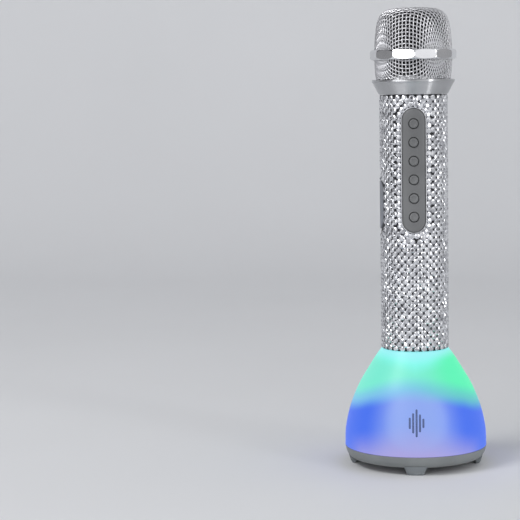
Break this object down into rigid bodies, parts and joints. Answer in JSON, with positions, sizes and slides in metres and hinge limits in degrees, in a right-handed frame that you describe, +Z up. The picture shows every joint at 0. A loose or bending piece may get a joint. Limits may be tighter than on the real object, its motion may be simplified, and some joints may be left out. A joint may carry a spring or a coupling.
{
  "type": "toy microphone",
  "caption": "Standing karaoke microphone: wire-mesh head with faceted band, stone-covered handle with control strip, glowing bell and speaker base.",
  "frame": {"origin": "on the table under the middle of the base, at the bottom of the feet", "axes": "+Z up along the microphone, -Y is the front with the control strip, -X is the side with the port cover"},
  "size_m": [0.0792, 0.0792, 0.2545],
  "materials": {
    "chrome_plate": "polished plating",
    "satin_metal": "fine brushed, satin",
    "wire_mesh": "woven wire, pressed to shape",
    "stones": "small cut stones set in silver",
    "strip_grey": "fine satin",
    "base_grey": "satin moulded",
    "foot_grey": "matte rubber",
    "port_grey": "smooth silicone",
    "black_plastic": "moulded",
    "white_plastic": "reflective white",
    "diffuser": "frosted, lit from inside",
    "foam": "open-cell foam",
    "black_rubber": "matte",
    "board_green": "solder mask",
    "chip_black": "moulded",
    "brass": "plain",
    "cell_wrap": "shrink-wrapped cell",
    "cone_paper": "pressed pulp"
  },
  "bodies": {
    "microphone": {"base_ring": "base_grey", "speaker_grille": "wire_mesh", "foot_front": "foot_grey", "foot_right": "foot_grey", "foot_back": "foot_grey", "foot_left": "foot_grey", "base_screw_1": "satin_metal", "base_screw_2": "satin_metal", "base_screw_3": "satin_metal", "base_screw_4": "satin_metal", "light_diffuser": "diffuser", "neck_adapter": "black_plastic", "neck_nut": "black_plastic", "sound_chamber": "white_plastic", "light_board": "board_green", "speaker_basket": "black_plastic", "speaker_magnet": "satin_metal", "speaker_surround": "black_rubber", "speaker_spider": "foam", "handle_tube": "strip_grey", "gem_sleeve": "stones", "control_bezel": "chrome_plate", "control_panel": "strip_grey", "cover_hinge": "port_grey", "port_bay": "black_plastic", "charging_socket": "satin_metal", "audio_socket": "black_plastic", "main_board": "board_green", "radio_module": "chip_black", "amplifier_chip": "chip_black", "battery_cell": "cell_wrap", "battery_cradle": "black_plastic", "speaker_lead": "black_rubber", "capsule_lead": "black_rubber", "head_collar": "satin_metal", "grille_skirt": "satin_metal", "upper_grille": "wire_mesh", "lower_grille": "wire_mesh", "grille_band": "chrome_plate", "windscreen_foam": "foam", "capsule_stem": "black_plastic", "shock_ring": "black_rubber", "capsule_body": "satin_metal", "capsule_cap": "brass", "tact_switch_1": "black_plastic", "tact_switch_2": "black_plastic", "tact_switch_3": "black_plastic", "tact_switch_4": "black_plastic", "tact_switch_5": "black_plastic", "tact_switch_6": "black_plastic"},
    "port_cover": {"port_cover": "port_grey"},
    "cone": {"speaker_cone": "cone_paper", "voice_coil": "brass", "dust_cap": "cone_paper"},
    "button_1": {"button_1": "strip_grey"},
    "button_2": {"button_2": "strip_grey"},
    "button_3": {"button_3": "strip_grey"},
    "button_4": {"button_4": "strip_grey"},
    "button_5": {"button_5": "strip_grey"},
    "button_6": {"button_6": "strip_grey"}
  },
  "joints": [
    {"name": "button_1_press", "type": "slide", "parent": "microphone", "child": "button_1", "axis": [0, 1, 0], "range_m": [0, 0.0006], "stiffness_N_per_m": 1500},
    {"name": "button_2_press", "type": "slide", "parent": "microphone", "child": "button_2", "axis": [0, 1, 0], "range_m": [0, 0.0006], "stiffness_N_per_m": 1500},
    {"name": "button_3_press", "type": "slide", "parent": "microphone", "child": "button_3", "axis": [0, 1, 0], "range_m": [0, 0.0006], "stiffness_N_per_m": 1500},
    {"name": "button_4_press", "type": "slide", "parent": "microphone", "child": "button_4", "axis": [0, 1, 0], "range_m": [0, 0.0006], "stiffness_N_per_m": 1500},
    {"name": "button_5_press", "type": "slide", "parent": "microphone", "child": "button_5", "axis": [0, 1, 0], "range_m": [0, 0.0006], "stiffness_N_per_m": 1500},
    {"name": "button_6_press", "type": "slide", "parent": "microphone", "child": "button_6", "axis": [0, 1, 0], "range_m": [0, 0.0006], "stiffness_N_per_m": 1500},
    {"name": "port_cover_swing", "type": "hinge", "parent": "microphone", "child": "port_cover", "pos_m": [-0.0184, 0, 0.1604], "axis": [0, 1, 0], "range_deg": [0, 100]},
    {"name": "cone_stroke", "type": "slide", "parent": "microphone", "child": "cone", "axis": [0, 0, 1], "range_m": [-0.001, 0.001], "stiffness_N_per_m": 1000, "deforming": ["speaker_surround", "speaker_spider"]}
  ]
}
